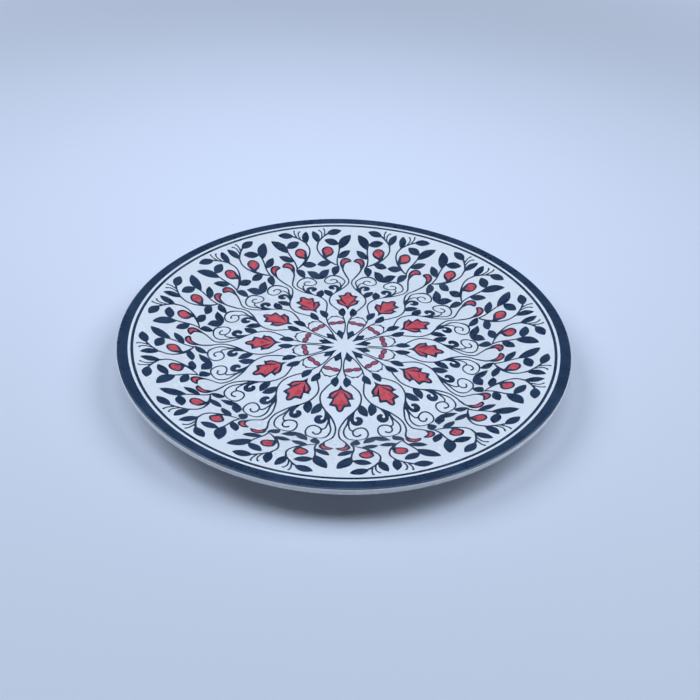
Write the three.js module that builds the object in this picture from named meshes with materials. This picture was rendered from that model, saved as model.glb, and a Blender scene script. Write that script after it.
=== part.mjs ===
// A round hand painted ceramic dinner plate that stands on its own foot ring.
// Millimetres, +Z up. The origin is the middle of the foot ring, on the table.
//
// The plate is one fired piece. Its bonded layers are separate solids that meet face to face:
// the clay body, the white glaze on the face, on the back and inside the foot ring, and the two
// navy rings painted round the rim.

import * as THREE from 'three';

const segments = 60; // facets round the plate

const plateRadius = 130;
const lipRadius = 2.5; // half the thickness of the rounded rim edge
const lipHeight = 19; // middle of the rim edge above the table
const wellRadius = 77.4; // where the well turns up into the rim
const wellMiddle = 10.3; // the well is slightly domed, so its middle stands above its edge
const wellEdge = 7.05;
const flatRadius = 40; // the middle of the well is flat this far out

const footInner = 73; // the flat ring the plate stands on
const footOuter = 77.4;
const dryHeight = 1; // the foot is wiped clean of glaze this far up
const recessEdge = 3.2; // underside inside the foot ring, at its edge and in its middle
const recessMiddle = 4.9;

const glazeThickness = 0.4;
const paintThickness = 0.1;
const lineInner = 120.8; // thin navy line inside the rim band
const lineOuter = 122;
const bandInner = 124.1;
const bandLipAngle = 40; // the band ends this many degrees above the lip's outermost point

const colours = {
  clay: 0xd9cfc0,
  glaze: 0xe6ebf2,
  navy: 0x26375a,
};

function lipPoint(degrees) {
  const angle = THREE.MathUtils.degToRad(degrees);
  return [
    plateRadius - lipRadius + lipRadius * Math.cos(angle),
    lipHeight + lipRadius * Math.sin(angle),
  ];
}

// Outer skin as [radius, height], from the middle of the face over the lip to the foot ring.
const wellSkin = [
  [0, wellMiddle],
  [flatRadius, wellMiddle],
  [50, 9.75],
  [61, 8.7],
  [wellRadius - 3.4, 7.3],
  [wellRadius, wellEdge],
  [wellRadius + 2.2, 7.75],
];
const rimSkin = [
  [84, 9.35],
  [97, 14],
  [110, 17.95],
  [lineInner, 20.35],
  [lineOuter, 20.57],
  [bandInner, 20.95],
];
const lipSkin = [100, 70, bandLipAngle, 0, -40, -80].map(lipPoint);
const backSkin = [
  [118, 14.5],
  [104, 10.7],
  [92, 6.4],
  [84, 3.5],
  [80, 2.2],
  [footOuter + 0.9, dryHeight],
];
const skin = [...wellSkin, ...rimSkin, ...lipSkin, ...backSkin];

// Underside inside the foot ring, from the ring to the middle.
const recessSkin = [
  [footInner - 0.9, dryHeight],
  [footInner - 1.8, recessEdge - 0.7],
  [footInner - 4, recessEdge],
  [38, 4.3],
  [0, recessMiddle],
];

// Moves an open outline to its right by a distance, keeping the points on the axis on it.
function offset(points, distance) {
  return points.map(([r, z], i) => {
    const before = points[Math.max(i - 1, 0)];
    const after = points[Math.min(i + 1, points.length - 1)];
    const inward = new THREE.Vector2(r - before[0], z - before[1]).normalize();
    const outward = new THREE.Vector2(after[0] - r, after[1] - z).normalize();
    const along = inward.clone().add(outward).normalize();
    const stretch = 1 / Math.max(along.dot(i > 0 ? inward : outward), 0.5);
    if (r === 0) {
      return [0, z - Math.sign(along.x) * distance];
    }
    return [r + along.y * distance * stretch, z - along.x * distance * stretch];
  });
}

const skinInside = offset(skin, glazeThickness);
const skinPainted = offset(skin, -paintThickness);
const recessInside = offset(recessSkin, glazeThickness);

// A ring, or a disc where the outline touches the axis, turned from a closed outline.
function turned(name, outline, colour, roughness) {
  const points = outline.map(([r, z]) => new THREE.Vector2(r, z));
  if (outline[0][0] > 0) {
    points.push(points[0].clone());
  }
  if (THREE.ShapeUtils.area(points) < 0) {
    points.reverse();
  }
  const geometry = new THREE.LatheGeometry(points, segments);
  geometry.rotateX(Math.PI / 2);
  const material = new THREE.MeshStandardMaterial({ color: colour, roughness, metalness: 0 });
  const mesh = new THREE.Mesh(geometry, material);
  mesh.name = name;
  return mesh;
}

// A coat between two matching outlines, from one point of the outline to another.
function coat(name, outer, inner, from, to, colour, roughness) {
  const top = outer.slice(from, to + 1);
  const bottom = inner.slice(from, to + 1);
  return turned(name, [...top, ...bottom.reverse()], colour, roughness);
}

const pointAt = (radius) => skin.findIndex((point) => point[0] === radius);
const lipStart = wellSkin.length + rimSkin.length;
const lipEnd = lipStart + lipSkin.length - 1;
const bandEnd = lipStart + 2;

const footSkin = [
  [footOuter + 0.35, 0.3],
  [footOuter, 0],
  [footInner, 0],
  [footInner - 0.35, 0.3],
];

const plate = new THREE.Group();
plate.name = 'hand_painted_plate';
plate.add(
  turned('clay_body', [...skinInside, ...footSkin, ...recessInside], colours.clay, 0.85),
  coat('face_glaze', skin, skinInside, 0, lipEnd, colours.glaze, 0.12),
  coat('back_glaze', skin, skinInside, lipEnd, skin.length - 1, colours.glaze, 0.15),
  coat('recess_glaze', recessSkin, recessInside, 0, recessSkin.length - 1, colours.glaze, 0.15),
  coat('rim_line', skinPainted, skin, pointAt(lineInner), pointAt(lineOuter), colours.navy, 0.2),
  coat('rim_band', skinPainted, skin, pointAt(bandInner), bandEnd, colours.navy, 0.2),
);

export default plate;
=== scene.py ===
import math

import bmesh
import bpy
from mathutils import Matrix, Vector, noise
from mathutils.geometry import interpolate_bezier


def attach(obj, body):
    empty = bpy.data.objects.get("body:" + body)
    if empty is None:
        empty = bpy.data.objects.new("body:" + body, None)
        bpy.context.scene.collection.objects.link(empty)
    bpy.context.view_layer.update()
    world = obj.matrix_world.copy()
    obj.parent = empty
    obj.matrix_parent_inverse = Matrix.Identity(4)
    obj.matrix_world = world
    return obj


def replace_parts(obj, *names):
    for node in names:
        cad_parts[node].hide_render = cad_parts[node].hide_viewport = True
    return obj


# A round ceramic plate with a painted pattern of twelve petals, leaves and scrolls.
# Sizes in the dictionaries are millimetres, and each finished mesh is scaled to metres.

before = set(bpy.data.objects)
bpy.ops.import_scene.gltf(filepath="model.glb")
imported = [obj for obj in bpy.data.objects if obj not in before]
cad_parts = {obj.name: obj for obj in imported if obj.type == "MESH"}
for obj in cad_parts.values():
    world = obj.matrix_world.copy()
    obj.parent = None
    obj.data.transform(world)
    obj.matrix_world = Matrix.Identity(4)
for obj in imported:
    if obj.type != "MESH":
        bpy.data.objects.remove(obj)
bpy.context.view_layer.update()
scene = bpy.context.scene
mm = 0.001
print("loaded", len(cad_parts), "nodes")


def toLinear(code):  # "#rrggbb" in sRGB to a linear colour
    parts = [int(code[i:i + 2], 16) / 255 for i in (1, 3, 5)]
    return [p / 12.92 if p <= 0.04045 else ((p + 0.055) / 1.055) ** 2.4 for p in parts] + [1]


def addNode(tree, kind, inputs, **settings):  # inputs: socket name to a value or another node's output
    made = tree.nodes.new(kind)
    for name, value in settings.items():
        setattr(made, name, value)
    for name, value in inputs.items():
        if isinstance(value, bpy.types.NodeSocket):
            tree.links.new(value, made.inputs[name])
        else:
            made.inputs[name].default_value = value
    return made


def startMaterial(name):
    material = bpy.data.materials.new(name)
    material.use_nodes = True
    tree = material.node_tree
    tree.nodes.clear()
    where = addNode(tree, "ShaderNodeTexCoord", {}).outputs["Object"]
    return material, tree, where


def finishMaterial(tree, surface):
    addNode(tree, "ShaderNodeOutputMaterial", {"Surface": surface.outputs["BSDF"]})


noiseSpread = {"From Min": 0.3, "From Max": 0.7}  # most of a noise texture lies between these


# white tin glaze, dipped and fired: a clean cool white, with faint clouds where it lies thicker,
# a few tiny specks and a slow ripple in the gloss
glazeLook = {
    "thin": "#ebecec",
    "thick": "#f1f2f2",
    "speck": "#a9a298",
    "cloudSize": 17,
    "speckSpacing": 11,
    "speckRadius": 0.22,
    "speckCore": 0.4,  # share of the radius that is full strength
    "speckStrength": 0.55,
    "rippleSize": 9,
    "rippleDepth": 0.012,
    "roughness": (0.24, 0.3),
}


def makeGlaze(look):
    material, tree, where = startMaterial("white_tin_glaze")
    cloud = addNode(tree, "ShaderNodeTexNoise", {
        "Vector": where, "Scale": 1 / (look["cloudSize"] * mm), "Detail": 3, "Roughness": 0.55})
    body = addNode(tree, "ShaderNodeMixRGB", {
        "Fac": cloud.outputs["Fac"], "Color1": toLinear(look["thin"]),
        "Color2": toLinear(look["thick"])})
    cells = addNode(tree, "ShaderNodeTexVoronoi", {
        "Vector": where, "Scale": 1 / (look["speckSpacing"] * mm), "Randomness": 1})
    edge = look["speckRadius"] / look["speckSpacing"]
    isSpeck = addNode(tree, "ShaderNodeMapRange", {
        "Value": cells.outputs["Distance"], "From Min": edge, "From Max": look["speckCore"] * edge,
        "To Min": 0, "To Max": look["speckStrength"]})
    colour = addNode(tree, "ShaderNodeMixRGB", {
        "Fac": isSpeck.outputs["Result"], "Color1": body.outputs["Color"],
        "Color2": toLinear(look["speck"])})
    gloss = addNode(tree, "ShaderNodeMapRange", {
        "Value": cloud.outputs["Fac"], **noiseSpread,
        "To Min": look["roughness"][0], "To Max": look["roughness"][1]})
    ripple = addNode(tree, "ShaderNodeTexNoise", {
        "Vector": where, "Scale": 1 / (look["rippleSize"] * mm), "Detail": 1.5, "Roughness": 0.4})
    bump = addNode(tree, "ShaderNodeBump", {
        "Height": ripple.outputs["Fac"], "Strength": 1, "Distance": look["rippleDepth"] * mm})
    surface = addNode(tree, "ShaderNodeBsdfPrincipled", {
        "Base Color": colour.outputs["Color"], "Roughness": gloss.outputs["Result"],
        "Normal": bump.outputs["Normal"], "IOR": 1.5})
    finishMaterial(tree, surface)
    return material


def makeUnderglaze(name, look):
    material, tree, where = startMaterial(name)
    wash = addNode(tree, "ShaderNodeTexNoise", {
        "Vector": where, "Scale": 1 / (look["washSize"] * mm), "Detail": 4, "Roughness": 0.6})
    stroke = addNode(tree, "ShaderNodeTexNoise", {
        "Vector": where, "Scale": 1 / (look["bristleSize"] * mm), "Detail": 2, "Distortion": 0.6})
    both = addNode(tree, "ShaderNodeMixRGB", {
        "Fac": look["bristleShare"], "Color1": wash.outputs["Fac"], "Color2": stroke.outputs["Fac"]})
    tone = addNode(tree, "ShaderNodeValToRGB", {"Fac": both.outputs["Color"]})
    ramp = tone.color_ramp.elements
    ramp[0].position, middle, ramp[1].position = look["toneSpread"]
    ramp[0].color = toLinear(look["pooled"])
    ramp[1].color = toLinear(look["thin"])
    ramp.new(middle).color = toLinear(look["even"])
    gloss = addNode(tree, "ShaderNodeMapRange", {
        "Value": wash.outputs["Fac"], **noiseSpread,
        "To Min": look["roughness"][0], "To Max": look["roughness"][1]})
    bump = addNode(tree, "ShaderNodeBump", {
        "Height": stroke.outputs["Fac"], "Strength": 1, "Distance": look["bristleDepth"] * mm})
    surface = addNode(tree, "ShaderNodeBsdfPrincipled", {
        "Base Color": tone.outputs["Color"], "Roughness": gloss.outputs["Result"],
        "Normal": bump.outputs["Normal"], "IOR": 1.5})
    finishMaterial(tree, surface)
    return material


# navy cobalt underglaze laid on with a brush: darker where it pools, thinner where the bristles drag
navyLook = {
    "pooled": "#21334a",
    "even": "#2b3e55",
    "thin": "#374d66",
    "toneSpread": (0.3, 0.5, 0.72),
    "washSize": 14,
    "bristleSize": 1.3,
    "bristleShare": 0.35,
    "bristleDepth": 0.006,
    "roughness": (0.25, 0.32),
}

# iron red underglaze: a warm coral red, uneven from one touch of the brush to the next
redLook = {
    "pooled": "#c2444f",
    "even": "#d8585f",
    "thin": "#e47474",
    "toneSpread": (0.3, 0.5, 0.72),
    "washSize": 5,
    "bristleSize": 0.9,
    "bristleShare": 0.4,
    "bristleDepth": 0.006,
    "roughness": (0.25, 0.32),
}

# the same red brushed over wet navy: a dusky rose, used for the beads
dullRedLook = {
    **redLook,
    "pooled": "#9a4257",
    "even": "#b45466",
    "thin": "#c46c7b",
}

# bare stoneware where the foot was wiped: buff, matt and sandy, greyed by the table
clayLook = {
    "pale": "#dccfbb",
    "dark": "#bda98d",
    "grainSize": 0.5,
    "grainDepth": 0.03,
    "roughness": 0.85,
}


def makeClay(look):
    material, tree, where = startMaterial("bare_stoneware")
    grain = addNode(tree, "ShaderNodeTexNoise", {
        "Vector": where, "Scale": 1 / (look["grainSize"] * mm), "Detail": 4, "Roughness": 0.7})
    colour = addNode(tree, "ShaderNodeMixRGB", {
        "Fac": grain.outputs["Fac"], "Color1": toLinear(look["dark"]),
        "Color2": toLinear(look["pale"])})
    bump = addNode(tree, "ShaderNodeBump", {
        "Height": grain.outputs["Fac"], "Strength": 1, "Distance": look["grainDepth"] * mm})
    surface = addNode(tree, "ShaderNodeBsdfPrincipled", {
        "Base Color": colour.outputs["Color"], "Roughness": look["roughness"],
        "Normal": bump.outputs["Normal"], "IOR": 1.5})
    finishMaterial(tree, surface)
    return material


finishes = {  # each material with the slot it belongs to
    "glaze": (makeGlaze(glazeLook), "white_glaze"),
    "navy": (makeUnderglaze("navy_cobalt_underglaze", navyLook), "navy_underglaze"),
    "red": (makeUnderglaze("iron_red_underglaze", redLook), "red_underglaze"),
    "dullRed": (makeUnderglaze("iron_red_over_cobalt", dullRedLook), "red_underglaze"),
    "clay": (makeClay(clayLook), "fired_clay"),
}
print("materials ready")


def smoothCurve(points, spacing, least=1):  # points along a smooth curve through the given ones
    knots = [Vector(p).to_3d() for p in points]
    marks = [0]
    for a, b in zip(knots, knots[1:]):
        marks.append(marks[-1] + (b.xy - a.xy).length)
    last = len(knots) - 1
    slopes = [(knots[min(i + 1, last)] - knots[max(i - 1, 0)])
              / (marks[min(i + 1, last)] - marks[max(i - 1, 0)]) for i in range(last + 1)]
    curve = []
    for i in range(last):
        span = marks[i + 1] - marks[i]
        count = max(round(span / spacing), least) + 1
        curve += interpolate_bezier(
            knots[i], knots[i] + slopes[i] * span / 3,
            knots[i + 1] - slopes[i + 1] * span / 3, knots[i + 1], count)[:-1]
    return curve + [knots[-1]]


# the outline as (radius, height), from the middle of the face over the lip, down to the foot and in
plate = {
    "centre": [(0, 10.3), (20, 10.3)],
    "well": [(40, 10.3), (50, 9.75), (61, 8.7), (70, 7.72), (75, 7.15), (77.4, 7.05), (79.6, 7.75)],
    "rim": [(84, 9.35), (90.5, 11.75), (97, 14), (103.5, 16.08), (110, 17.95), (116, 19.35),
            (121.4, 20.46), (125, 21.0), (127.4, 21.28)],
    "lip": [(128.6, 21.36), (129.35, 21.12), (129.85, 20.5), (130, 19.5), (129.85, 18.5),
            (129.35, 17.5), (128.7, 16.9), (127.9, 16.5)],
    "back": [(123, 15.2), (118, 14.2), (111, 12.2), (104, 10.5), (92, 6.4), (84, 3.5), (80, 2.2),
             (78.3, 1)],
    "foot": [(77.75, 0.3), (77.4, 0), (73, 0), (72.65, 0.3)],
    "recess": [(72.1, 1), (71.2, 2.5), (69, 3.2), (38, 4.3), (0, 4.9)],
    "spacing": 1.0,  # between the points of the outline, on the face
    "backSpacing": 3,
    "glazeThickness": 0.4,
    "steps": 240,  # facets round the plate
    "sharpAngle": 35,  # degrees past which an edge stays crisp
    "weld": 1e-5,
}


def corners(name):  # a part of the outline, left as straight runs
    return [Vector(p).to_3d() for p in plate[name]]


upperSkin = smoothCurve(plate["well"] + plate["rim"] + plate["lip"] + plate["back"][:1],
                        plate["spacing"], 3)
lipEdge = Vector(plate["lip"][-1])
lipEnd = min(range(len(upperSkin)), key=lambda i: (upperSkin[i].xy - lipEdge).length)
faceSkin = corners("centre") + upperSkin[:lipEnd + 1]
skin = faceSkin + smoothCurve(plate["lip"][-1:] + plate["back"], plate["backSpacing"])[1:]
recessSkin = corners("recess")


def offsetSkin(points, distance):  # to the right of the way the outline runs
    moved = []
    for i, p in enumerate(points):
        along = (points[min(i + 1, len(points) - 1)] - points[max(i - 1, 0)]).normalized()
        side = Vector((along.y, -along.x, 0)) * distance
        moved.append(p + (side if p.x > 0 else Vector((0, side.y, 0))))
    return moved


def skinHeight(radius):  # height of the glazed face above the table
    for a, b in zip(faceSkin, faceSkin[1:]):
        if radius <= b.x:
            return a.y + (b.y - a.y) * (radius - a.x) / (b.x - a.x)
    return faceSkin[-1].y


def finishPiece(name, bm, finish):
    material, slot = finishes[finish]
    bmesh.ops.recalc_face_normals(bm, faces=bm.faces[:])
    for face in bm.faces:
        face.smooth = True
    for edge in bm.edges:
        edge.smooth = edge.calc_face_angle(0) <= math.radians(plate["sharpAngle"])
    bmesh.ops.scale(bm, vec=(mm, mm, mm), verts=bm.verts[:])
    mesh = bpy.data.meshes.new(name)
    bm.to_mesh(mesh)
    bm.free()
    mesh.materials.append(material)
    piece = bpy.data.objects.new(name, mesh)
    scene.collection.objects.link(piece)
    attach(piece, "root")
    return piece


def turnOutline(name, outline, finish, node):  # spins a section, closed or ending on the axis
    bm = bmesh.new()
    verts = [bm.verts.new((p.x, 0, p.y)) for p in outline]
    edges = [bm.edges.new(pair) for pair in zip(verts, verts[1:])]
    if outline[0].x > 0:
        edges.append(bm.edges.new((verts[-1], verts[0])))
    bmesh.ops.spin(bm, geom=verts + edges, cent=(0, 0, 0), axis=(0, 0, 1), angle=math.tau,
                   steps=plate["steps"], use_merge=True)
    bmesh.ops.remove_doubles(bm, verts=bm.verts[:], dist=plate["weld"])
    onAxis = [e for e in bm.edges if e.is_wire]
    bmesh.ops.delete(bm, geom=onAxis, context="EDGES")
    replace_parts(finishPiece(name, bm, finish), node)


thickness = plate["glazeThickness"]
insideSkin = offsetSkin(skin, thickness)
insideRecess = offsetSkin(recessSkin, thickness)
split = len(faceSkin) - 1  # the face and back coats meet under the lip
turnOutline("faceGlaze", skin[:split + 1] + insideSkin[:split + 1][::-1], "glaze", "face_glaze")
turnOutline("backGlaze", skin[split:] + insideSkin[split:][::-1], "glaze", "back_glaze")
turnOutline("recessGlaze", recessSkin + insideRecess[::-1], "glaze", "recess_glaze")
turnOutline("clayBody", insideSkin + corners("foot") + insideRecess, "clay", "clay_body")
print("plate turned")

# the thin line inside the lip and the band over it
rings = {
    "lineFrom": 120.5,
    "lineTo": 122.1,
    "bandFrom": 123.6,
    "bandStep": 0.2,  # least gap after the band's first point
    "bandDrop": 20.75,  # the band stops at this height on the outside of the lip
    "sunk": 0.05,  # underside of the paint, in the glaze
    "proud": 0.05,
    "lineSteps": 3,
}


def paintRing(name, outline, node):
    top = offsetSkin(outline, -rings["proud"])
    under = offsetSkin(outline, rings["sunk"])
    turnOutline(name, top + under[::-1], "navy", node)


def onFace(radius):
    return Vector((radius, skinHeight(radius), 0))


lineWidth = rings["lineTo"] - rings["lineFrom"]
paintRing("rimLine", [onFace(rings["lineFrom"] + lineWidth * i / rings["lineSteps"])
                      for i in range(rings["lineSteps"] + 1)], "rim_line")
bandSkin = [p for p in faceSkin
            if p.x > rings["bandFrom"] + rings["bandStep"] and p.y > rings["bandDrop"]]
paintRing("rimBand", [onFace(rings["bandFrom"])] + bandSkin, "rim_band")
print("rings painted")

# how the pattern is brushed on
brush = {
    "petals": 12,
    "spacing": 0.9,  # distance between the steps of a stroke
    "leafSteps": 12,
    "leafColumns": 4,
    "leafFullness": 0.78,  # lower is blunter
    "dotSides": 16,
    "cut": 2.2,  # size of the tiles in a filled shape
    "sunk": 0.04,  # underside of the paint, in the glaze
    "proud": 0.04,
    "weldStroke": 0.02,
    "weldHalves": 1e-4,
    "onLine": 1e-3,  # this near the middle line of a petal counts as on it
    "shake": 0.1,  # how far the hand wanders
    "shakeSize": 9,
    "shakeSeed": 12,  # fixed, so that every run wanders alike
    "lean": 0.85,  # the petals lean this many degrees round the plate
    "leanFrom": (36, 43),
    "leanTo": (54, 84),
}
noise.seed_set(brush["shakeSeed"])

# how far each coat stands above the first, so that strokes that cross never share a surface
coats = {
    "first": 0,
    "stems": 0.01,
    "fineLines": 0.015,
    "outlines": 0.02,
    "mapleRed": 0.03,
    "red": 0.04,
    "veins": 0.06,
}


def layStroke(bm, points, columns=1):  # points: (x, y, half width) along the middle of the stroke
    curve = smoothCurve(points, brush["spacing"])
    last = len(curve) - 1
    verts = bmesh.ops.create_grid(bm, x_segments=last, y_segments=columns, size=1)["verts"]
    for v in verts:
        i = round((v.co.x + 1) / 2 * last)
        side = v.co.y
        way = (curve[min(i + 1, last)] - curve[max(i - 1, 0)]).xy.normalized()
        half = max(curve[i].z, 0)
        v.co = (curve[i].x - way.y * side * half, curve[i].y + way.x * side * half, 0)


def layLeaf(bm, base, tip, half, bend):  # a pointed leaf pressed out in one touch
    base, tip = Vector(base), Vector(tip)
    side = Vector((base.y - tip.y, tip.x - base.x)).normalized()
    verts = bmesh.ops.create_grid(
        bm, x_segments=brush["leafSteps"], y_segments=brush["leafColumns"], size=1)["verts"]
    for v in verts:
        t = round((v.co.x + 1) / 2 * brush["leafSteps"]) / brush["leafSteps"]
        middle = base.lerp(tip, t) + side * bend * 4 * t * (1 - t)
        place = middle + side * v.co.y * half * max(math.sin(math.pi * t), 0) ** brush["leafFullness"]
        v.co = (place.x, place.y, 0)


def layDot(bm, centre, across, along, turn):  # an oval touch, turned in degrees
    verts = bmesh.ops.create_circle(bm, cap_ends=True, segments=brush["dotSides"], radius=1)["verts"]
    place = Matrix.Translation((centre[0], centre[1], 0)) @ Matrix.Rotation(math.radians(turn), 4, "Z")
    bmesh.ops.transform(bm, matrix=place @ Matrix.Diagonal((across, along, 1, 1)), verts=verts)


def layPatch(bm, runs):  # a filled shape: smooth runs meeting at sharp corners
    outline = [p for run in runs for p in smoothCurve(run, brush["spacing"])[:-1]]
    if (Vector(runs[-1][-1]) - Vector(runs[0][0])).length > 0.01:
        outline.append(Vector(runs[-1][-1]).to_3d())
    face = bm.faces.new([bm.verts.new((p.x, p.y, 0)) for p in outline])
    made = bmesh.ops.triangulate(bm, faces=[face])["faces"]
    low = Vector((min(p.x for p in outline), min(p.y for p in outline), 0))
    high = Vector((max(p.x for p in outline), max(p.y for p in outline), 0))
    parts = [*made, *(e for f in made for e in f.edges), *(v for f in made for v in f.verts)]
    pieces = list(dict.fromkeys(parts))  # each one once, in the same order every run
    for axis in (0, 1):  # cut small enough to follow the curve of the plate
        for i in range(1, round((high - low)[axis] / brush["cut"])):
            place = low.copy()
            place[axis] += i * brush["cut"]
            normal = Vector((1 - axis, axis, 0))
            pieces = bmesh.ops.bisect_plane(
                bm, geom=pieces, plane_co=place, plane_no=normal)["geom"]


def hold(low, high, value):  # 0 below low, 1 above high, smooth between
    t = min(max((value - low) / (high - low), 0), 1)
    return t * t * (3 - 2 * t)


# lay draws half a petal's pattern flat; it is mirrored, repeated round the plate and laid on the face
def paintPattern(name, lay, finish, coat, mirrored=True):
    bm = bmesh.new()
    lay(bm)
    bmesh.ops.remove_doubles(bm, verts=bm.verts[:], dist=brush["weldStroke"])
    top = bmesh.ops.extrude_face_region(bm, geom=bm.faces[:], use_keep_orig=True)["geom"]
    top = [g for g in top if isinstance(g, bmesh.types.BMVert)]
    bmesh.ops.translate(bm, vec=(0, 0, brush["proud"] + coats[coat]), verts=top)
    under = set(bm.verts) - set(top)
    bmesh.ops.translate(bm, vec=(0, 0, -brush["sunk"]), verts=list(under))
    if mirrored:  # a shape that reaches the middle line is left open there, to join its other half
        onLine = [f for f in bm.faces if all(abs(v.co.x) < brush["onLine"] for v in f.verts)]
        bmesh.ops.delete(bm, geom=onLine, context="FACES")
        bmesh.ops.mirror(bm, geom=bm.verts[:] + bm.edges[:] + bm.faces[:], axis="X",
                         merge_dist=brush["weldHalves"])
    copies = brush["petals"] - 1
    bmesh.ops.spin(bm, geom=bm.verts[:] + bm.edges[:] + bm.faces[:], cent=(0, 0, 0), axis=(0, 0, 1),
                   angle=math.tau * copies / brush["petals"], steps=copies, use_duplicate=True)
    for v in bm.verts:
        flat = Vector((v.co.x, v.co.y, 0))
        wander = noise.noise_vector(flat / brush["shakeSize"]) * brush["shake"]
        flat += Vector((wander.x, wander.y, 0))
        radius = flat.length
        lean = brush["lean"] * hold(*brush["leanFrom"], radius) * (1 - hold(*brush["leanTo"], radius))
        flat.rotate(Matrix.Rotation(math.radians(lean), 3, "Z"))
        v.co = (flat.x, flat.y, skinHeight(flat.length) + v.co.z)
    finishPiece(name, bm, finish)


# each leaf as base, tip, half width and bend
leafPlaces = {
    "rimLeaves": [
        ((18.5, 112.1), (9.0, 116.4), 2.8, -0.2),
        ((23.6, 103.6), (28.1, 113.6), 2.4, 0.4),
        ((9.3, 99.9), (2.5, 112.9), 3.2, -0.65),
        ((9.7, 104.0), (19.7, 106.4), 2.85, 0.1),
        ((9.9, 92.5), (2.1, 99.3), 2.4, 0.15),
        ((13.9, 88.6), (22.7, 85.5), 2.35, 0.1),
        ((11.2, 78.9), (8.4, 86.5), 2.5, -0.85),
    ],
    "wellLeaves": [
        ((10.6, 52.0), (15.3, 60.6), 2.5, 0.65),
        ((2.6, 29.4), (3.05, 38.7), 2.3, -0.65),
    ],
}


def drawLeaves(group):
    def lay(bm):
        for leaf in leafPlaces[group]:
            layLeaf(bm, *leaf)
    return lay


for group in leafPlaces:
    paintPattern(group, drawLeaves(group), "navy", "first")

# the pair of leaves spread between two petals, as a stroke: each point is x, y and half width
spreadLeaf = [(21.4, 75.3, 0.7), (20.4, 76.0, 1.65), (19.2, 77.2, 2.35), (18.2, 78.5, 2.7),
              (17.2, 79.9, 2.5), (16.1, 81.3, 1.7), (15.3, 82.3, 0.8), (14.6, 83.2, 0)]
paintPattern("spreadLeaves", lambda bm: layStroke(bm, spreadLeaf, 4), "navy", "first")
print("leaves painted")

# strokes, as x, y and half width in the frame of one petal, which points along y
stems = {
    "vine": [(9.5, 103.4, 0.6), (9.25, 101, 0.5), (9.3, 98.5, 0.5), (9.5, 96, 0.5), (9.85, 93.8, 0.5),
             (10.05, 91.5, 0.5), (9.95, 89.5, 0.5), (9.65, 87.6, 0.5), (9.0, 86.0, 0.45)],
    "shoot": [(9.8, 87.0, 0.45), (11.2, 87.4, 0.45), (12.8, 88.1, 0.55), (14.3, 88.8, 0.65),
              (15.8, 89.7, 0.75), (17.0, 90.9, 0.6)],
    "budStem": [(16.6, 89.6, 0.6), (17.6, 90.7, 0.75), (19.3, 92.0, 0.6), (21.2, 93.9, 0.52),
                (22.7, 95.9, 0.5), (23.6, 98, 0.5), (23.95, 100, 0.5), (23.75, 102, 0.5),
                (23.6, 104.2, 0.7)],
    "topStem": [(23.4, 104.6, 0.7), (22.3, 106.6, 0.6), (21.0, 108.5, 0.52), (19.7, 110.3, 0.55),
                (18.3, 112.0, 0.8)],
    "leftStamen": [(20.1, 109.8, 0.44), (20.0, 112.3, 0.44), (20.0, 114.4, 0.44), (20.6, 116.3, 0.44)],
    "rightStamen": [(21.7, 107.9, 0.44), (21.65, 110.6, 0.44), (22.1, 113.0, 0.44),
                    (23.5, 114.7, 0.44)],
    "petalLine": [(6.2, 85.6, 0.75), (5.6, 83.2, 0.55), (4.5, 81.2, 0.52), (3.4, 79.5, 0.5),
                  (2.35, 77.9, 0.5), (1.55, 76.2, 0.48), (1.05, 74.2, 0.46), (0.95, 72, 0.46),
                  (1.15, 70, 0.46), (1.75, 68, 0.46), (2.85, 65.4, 0.5), (4.1, 62.9, 0.5),
                  (5.35, 60.9, 0.5), (6.9, 59.0, 0.5), (8.15, 57.2, 0.5), (9.4, 55.1, 0.5),
                  (10.4, 53, 0.5), (10.95, 51, 0.48), (11.2, 49.5, 0.46), (11.3, 47.5, 0.45),
                  (11.05, 45, 0.45), (10.4, 43, 0.45), (9.5, 41.3, 0.45), (8.2, 39.4, 0.45),
                  (6.9, 37.6, 0.45), (5.2, 35.6, 0.45)],
    "scroll": [(5.35, 63.5, 0.7), (5.0, 66, 0.55), (4.5, 68, 0.5), (3.95, 69.5, 0.48),
               (3.55, 71.3, 0.46), (3.6, 73.2, 0.46), (4.2, 75, 0.46), (5.1, 76.4, 0.46),
               (6.4, 77.6, 0.46), (8.3, 78.5, 0.46), (10.5, 78.8, 0.46), (12.6, 78.5, 0.46),
               (14.3, 77.7, 0.46), (15.6, 76.5, 0.46), (16.4, 75, 0.46), (16.65, 73.2, 0.46),
               (16.3, 71.5, 0.46), (15.4, 70, 0.46), (14.1, 69.1, 0.46), (12.8, 68.85, 0.46),
               (11.2, 69.3, 0.46), (9.8, 70.1, 0.46), (8.75, 71.2, 0.48), (8.4, 72.5, 0.48),
               (8.8, 74, 0.48), (9.8, 75, 0.48), (11, 75.2, 0.5), (12.1, 74.6, 0.52),
               (12.9, 73.5, 0.5)],
    "scrollBranch": [(5.4, 64.5, 0.5), (5.55, 66.2, 0.48), (5.75, 67.8, 0.46), (6.15, 69.5, 0.46),
                     (6.85, 70.9, 0.46), (7.8, 71.4, 0.46), (8.7, 71.2, 0.46)],
    "spoke": [(2.7, 29.9, 0.4), (2.2, 28.2, 0.42), (1.75, 26.6, 0.42), (1.3, 25, 0.42),
              (0.92, 23, 0.42), (0.68, 21, 0.4), (0.62, 19, 0.4), (0.64, 17, 0.4), (0.75, 15, 0.4),
              (1.0, 13, 0.4), (1.3, 11, 0.4)],
    "dropArc": [(1.75, 26.2, 0.3), (2.6, 27.4, 0.3), (3.8, 28.3, 0.3), (5.1, 29.0, 0.32),
                (5.9, 29.4, 0.45), (6.6, 29.55, 0.8), (7.2, 29.35, 0.45), (7.8, 28.85, 0.3)],
}


def drawLines(*names):
    def lay(bm):
        for name in names:
            layStroke(bm, stems[name])
    return lay


# the dots on the stamens as centre, size across and along, and turn
stamenDots = [((20.85, 116.6), 0.72, 0.58, 50), ((23.85, 114.75), 0.72, 0.58, 20)]


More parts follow.
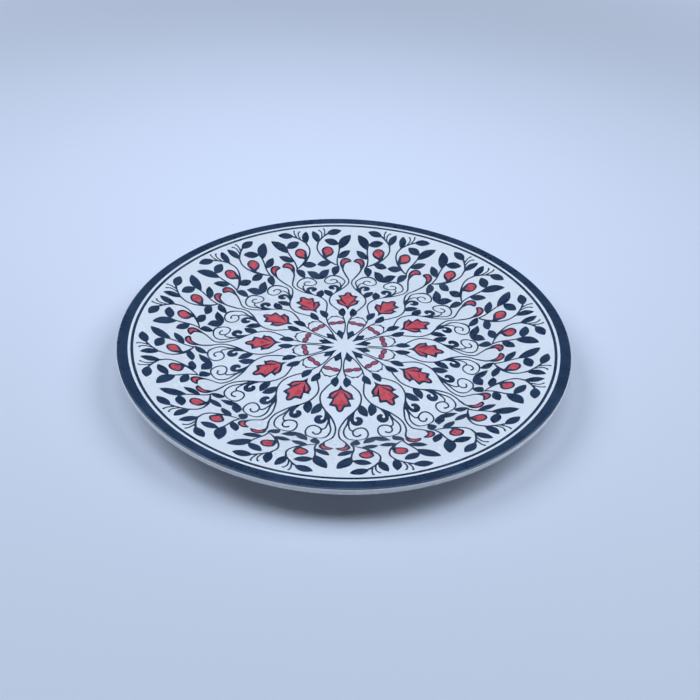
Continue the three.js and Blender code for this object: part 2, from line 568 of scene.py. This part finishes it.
def stamens(bm):
    drawLines("leftStamen", "rightStamen")(bm)
    for dot in stamenDots:
        layDot(bm, *dot)


paintPattern("vines", drawLines("vine", "shoot", "budStem", "topStem"), "navy", "stems")
paintPattern("stamens", stamens, "navy", "fineLines")
paintPattern("petalLines", drawLines("petalLine"), "navy", "stems")
paintPattern("scrolls", drawLines("scroll", "scrollBranch"), "navy", "fineLines")
paintPattern("spokes", drawLines("spoke"), "navy", "stems")
paintPattern("dropArcs", drawLines("dropArc"), "navy", "fineLines")
print("lines painted")

# the thick curls at the foot of each scroll
curls = {
    "root": [(8.5, 56.6, 0.2), (7.6, 58.3, 0.7), (6.9, 59.9, 1.15), (6.3, 61.5, 1.5), (5.8, 63, 1.25),
             (5.4, 64.4, 0.8), (5.1, 66, 0.5)],
    "snail": [(6.9, 59.6, 0.9), (7.1, 61.8, 0.9), (7.2, 63.7, 0.92), (7.85, 65.4, 1.2),
              (9.4, 66.2, 1.5), (10.95, 65.55, 1.8), (11.45, 64.0, 1.8), (10.9, 62.65, 1.5),
              (9.85, 62.15, 1.05), (9.2, 62.4, 0.6), (8.9, 62.6, 0.1)],
}


def thickCurls(bm):
    for part in curls.values():
        layStroke(bm, part, 2)


paintPattern("curls", thickCurls, "navy", "outlines")
print("curls painted")

# the leaf between two rays of the star, as distance from the middle and half width
starLeaf = [(6.1, 0), (7.2, 0.45), (8.4, 0.9), (10, 1.5), (11.3, 1.95), (12.4, 2.18), (13.0, 2.0),
            (13.7, 1.5), (14.4, 1.15), (15.0, 0.9), (15.5, 0.5), (15.75, 0)]


def starLeaves(bm):  # one on the middle line between two petals
    a = math.pi / brush["petals"]
    layStroke(bm, [(r * math.sin(a), r * math.cos(a), half) for r, half in starLeaf], 2)


paintPattern("starLeaves", starLeaves, "navy", "first", mirrored=False)

# a bead stands this many degrees to each side of a petal; its rim and heart are half sizes
bead = {
    "radius": 23.45,
    "angle": 9.3,
    "rim": (2.7, 1.8),
    "heart": (2.15, 1.15),
    "tilt": -18,
}


def beadAt(bm, part):
    a = math.radians(bead["angle"])
    layDot(bm, (bead["radius"] * math.sin(a), bead["radius"] * math.cos(a)), *bead[part], bead["tilt"])


paintPattern("beadRims", lambda bm: beadAt(bm, "rim"), "navy", "outlines")
paintPattern("beadHearts", lambda bm: beadAt(bm, "heart"), "dullRed", "red")
print("star and beads painted")

# the outline of a bud or tulip tip is a navy stroke, with a smaller red one on it
blossoms = {
    "budRims": [(16.05, 101.1, 0), (16.08, 100.95, 0.95), (16.15, 100.55, 1.9), (16.3, 99.8, 2.85),
                (16.5, 98.6, 3.65), (16.75, 97.2, 4.05), (17.1, 95.7, 3.7), (17.55, 94.3, 2.85),
                (17.9, 93.1, 1.9), (17.95, 92.0, 1.25), (17.6, 90.8, 0.6)],
    "budHearts": [(16.2, 100.0, 0), (16.22, 99.85, 0.72), (16.28, 99.5, 1.35), (16.38, 98.95, 2.05),
                  (16.5, 98.2, 2.62), (16.66, 97.15, 2.9), (16.85, 96.1, 2.45), (17.1, 95.2, 1.5),
                  (17.35, 94.5, 0.8), (17.5, 93.95, 0.3), (17.6, 93.6, 0)],
    "tulipRims": [(0.5, 90.6, 0), (1.2, 90.75, 0.85), (2.3, 91.0, 1.5), (3.8, 91.1, 2.0),
                  (5.2, 90.6, 2.2), (6.2, 89.3, 2.0), (6.45, 87.7, 1.65), (6.3, 86.3, 1.2),
                  (6.1, 85.0, 0.75)],
    "tulipHearts": [(2.1, 90.95, 0), (2.85, 91.1, 0.42), (3.9, 91.15, 0.8), (5.1, 90.65, 0.98),
                    (5.95, 89.4, 0.8), (6.25, 88.2, 0.45), (6.3, 87.4, 0)],
}


def drawBlossom(name, columns):
    return lambda bm: layStroke(bm, blossoms[name], columns)


paintPattern("budRims", drawBlossom("budRims", 4), "navy", "outlines")
paintPattern("budHearts", drawBlossom("budHearts", 4), "red", "red")
paintPattern("tulipRims", drawBlossom("tulipRims", 2), "navy", "outlines")
paintPattern("tulipHearts", drawBlossom("tulipHearts", 2), "red", "red")
print("buds painted")

# half of the maple leaf in each petal, from its stalk end in to its point; rim and heart are runs that
# meet at sharp tips, and the vein is a stroke
maple = {
    "rim": [
        [(0, 58.5), (0.8, 58.25), (1.55, 57.55), (2.05, 56.55), (2.3, 55.4), (2.65, 54.65),
         (3.2, 54.4), (4.2, 54.2), (6.1, 53.75)],
        [(6.1, 53.75), (5.85, 52.3), (5.3, 51), (4.85, 49.9), (4.5, 48.9)],
        [(4.5, 48.9), (5.4, 48.55), (6.4, 48.4), (7.9, 47.9)],
        [(7.9, 47.9), (6.95, 47.2), (6.7, 46.2), (6.65, 45.3), (6.3, 44.2), (5.6, 43.25), (4.6, 42.45),
         (3.2, 41.5), (1.9, 40.7), (1.2, 40), (0.85, 39.2), (0.45, 38.1), (0, 36.9)],
    ],
    "heart": [
        [(0, 57.1), (0.4, 56.9), (0.68, 56.4), (0.85, 55.7), (1.0, 54.8), (1.35, 53.6), (2.0, 52.95),
         (2.9, 52.75), (4.1, 52.5)],
        [(4.1, 52.5), (4.2, 51.9), (4.1, 51.0), (3.7, 50.0), (3.45, 48.6)],
        [(3.45, 48.6), (4.05, 47.5), (4.8, 47.15), (5.4, 46.85)],
        [(5.4, 46.85), (5.3, 46.3), (5.2, 45.6), (4.95, 44.95), (4.5, 44.3), (3.8, 43.65), (2.7, 42.7),
         (1.5, 42.0), (0.8, 41.5), (0.35, 41.2), (0, 40.9)],
    ],
    "vein": [(1.2, 42.8, 0.15), (1.9, 44.3, 0.4), (2.8, 45.9, 0.6), (3.6, 47.3, 0.68),
             (4.4, 48.7, 0.55)],
}

paintPattern("mapleRims", lambda bm: layPatch(bm, maple["rim"]), "navy", "first")
paintPattern("mapleHearts", lambda bm: layPatch(bm, maple["heart"]), "red", "mapleRed")
paintPattern("mapleVeins", lambda bm: layStroke(bm, maple["vein"]), "navy", "veins")
print("maple leaves painted")

view = {
    "lens": 53.08,
    "sensor": 36,
    "aimHeight": 10.3,  # the middle of the well
    "distance": 603.8,
    "elevation": 36.71,  # angles are in degrees
    "turn": -87.79,  # round the plate
    "pan": 0.318,
    "tilt": -0.226,
    "roll": 1.837,
}


def makeCamera():
    up, pan, tilt, roll = (math.radians(view[k]) for k in ("elevation", "pan", "tilt", "roll"))
    ahead = Vector((0, math.cos(up), -math.sin(up)))
    side = Vector((1, 0, 0))
    above = side.cross(ahead)
    level = ahead * math.cos(pan) + side * math.sin(pan)
    look = level * math.cos(tilt) + above * math.sin(tilt)
    right = look.cross(above).normalized()
    top = right.cross(look)
    right, top = (right * math.cos(roll) + top * math.sin(roll),
                  top * math.cos(roll) - right * math.sin(roll))
    turn = Matrix.Rotation(math.radians(view["turn"] + 90), 4, "Z")
    place = Matrix((right, top, -look)).transposed().to_4x4()
    place.translation = -ahead * view["distance"] * mm
    data = bpy.data.cameras.new("camera")
    data.lens = view["lens"]
    data.sensor_width = view["sensor"]
    camera = bpy.data.objects.new("camera", data)
    camera.matrix_world = Matrix.Translation((0, 0, view["aimHeight"] * mm)) @ turn @ place
    scene.collection.objects.link(camera)
    scene.camera = camera


# the lights, with places and sizes in metres; none stands behind the plate, so that no bright patch
# washes out the paint
studio = {
    "light": "#dae9ff",
    "softboxes": {  # place, aim, size and watts
        "overheadSoftbox": ((0, -0.2, 1.25), (0, -0.1, 0), 0.6, 4.0),
        "leftSoftbox": ((-0.84, 0.16, 1.08), (0, 0, 0), 0.95, 11.3),
        "rightSoftbox": ((0.84, 0.16, 1.08), (0, 0, 0), 0.95, 11.3),
    },
    "room": 0.02,  # light from the dim room
    "sweep": "#c6d6f2",  # pale backdrop that the table runs into
    "sweepFrom": 0.5,  # metres from the plate
    "sweepTo": 1.1,
}

# pale drawing paper, rolled matt: plain, with a painted pool of light behind the plate that fades to
# painted shade farther out; it glows softly far out, so that the table runs into the backdrop
paperLook = {
    # lit is the painted light at the centre of the pool, shaded the painted shade beyond its reach
    "lit": "#eceef8",
    "shaded": "#d3d6dc",
    "paintedLightCentre": (-0.03, 0.25, 0),
    "reach": 0.5,
    "roughness": 0.75,
    "halfWidth": 3,
}


def makeLight(name, place, aim, size, watts):
    data = bpy.data.lights.new(name, "AREA")
    data.shape = "DISK"
    data.size = size
    data.energy = watts
    data.color = toLinear(studio["light"])[:3]
    light = bpy.data.objects.new(name, data)
    light.location = place
    light.rotation_euler = (Vector(aim) - Vector(place)).to_track_quat("-Z", "Y").to_euler()
    scene.collection.objects.link(light)


def makeRoom():  # a dim room for the plate, and a pale backdrop where the camera sees past the table
    scene.world = bpy.data.worlds.new("studio")
    scene.world.use_nodes = True
    tree = scene.world.node_tree
    tree.nodes.clear()
    room = addNode(tree, "ShaderNodeBackground", {
        "Color": toLinear(studio["light"]), "Strength": studio["room"]})
    sweep = addNode(tree, "ShaderNodeBackground", {"Color": toLinear(studio["sweep"]), "Strength": 1})
    seen = addNode(tree, "ShaderNodeLightPath", {}).outputs["Is Camera Ray"]
    both = addNode(tree, "ShaderNodeMixShader", {
        0: seen, 1: room.outputs["Background"], 2: sweep.outputs["Background"]})
    addNode(tree, "ShaderNodeOutputWorld", {"Surface": both.outputs["Shader"]})


def makePaper(look):
    material, tree, where = startMaterial("pale_paper")
    # painted light and shade: the lit colour at the centre of the painted light, turning to the shaded
    # colour by reach
    away = addNode(tree, "ShaderNodeVectorMath", {0: where, 1: look["paintedLightCentre"]},
                   operation="DISTANCE")
    shade = addNode(tree, "ShaderNodeMapRange", {
        "Value": away.outputs["Value"], "From Min": 0, "From Max": look["reach"]},
        interpolation_type="SMOOTHSTEP")
    tone = addNode(tree, "ShaderNodeMixRGB", {
        "Fac": shade.outputs["Result"], "Color1": toLinear(look["lit"]),
        "Color2": toLinear(look["shaded"])})
    paper = addNode(tree, "ShaderNodeBsdfPrincipled", {
        "Base Color": tone.outputs["Color"], "Roughness": look["roughness"]})
    glow = addNode(tree, "ShaderNodeEmission", {"Color": toLinear(studio["sweep"]), "Strength": 1})
    fromPlate = addNode(tree, "ShaderNodeVectorMath", {0: where}, operation="LENGTH")
    farShare = addNode(tree, "ShaderNodeMapRange", {
        "Value": fromPlate.outputs["Value"], "From Min": studio["sweepFrom"],
        "From Max": studio["sweepTo"]}, interpolation_type="SMOOTHSTEP")
    both = addNode(tree, "ShaderNodeMixShader", {
        0: farShare.outputs["Result"], 1: paper.outputs["BSDF"], 2: glow.outputs["Emission"]})
    addNode(tree, "ShaderNodeOutputMaterial", {"Surface": both.outputs["Shader"]})
    return material


def makeTable():
    mesh = bpy.data.meshes.new("tableTop")
    bm = bmesh.new()
    bmesh.ops.create_grid(bm, x_segments=1, y_segments=1, size=paperLook["halfWidth"])
    bm.to_mesh(mesh)
    bm.free()
    mesh.materials.append(makePaper(paperLook))
    table = bpy.data.objects.new("tableTop", mesh)
    scene.collection.objects.link(table)


makeCamera()
for name, settings in studio["softboxes"].items():
    makeLight(name, *settings)
makeRoom()
makeTable()
scene.view_settings.view_transform = "Standard"
print("camera, lights and table ready")
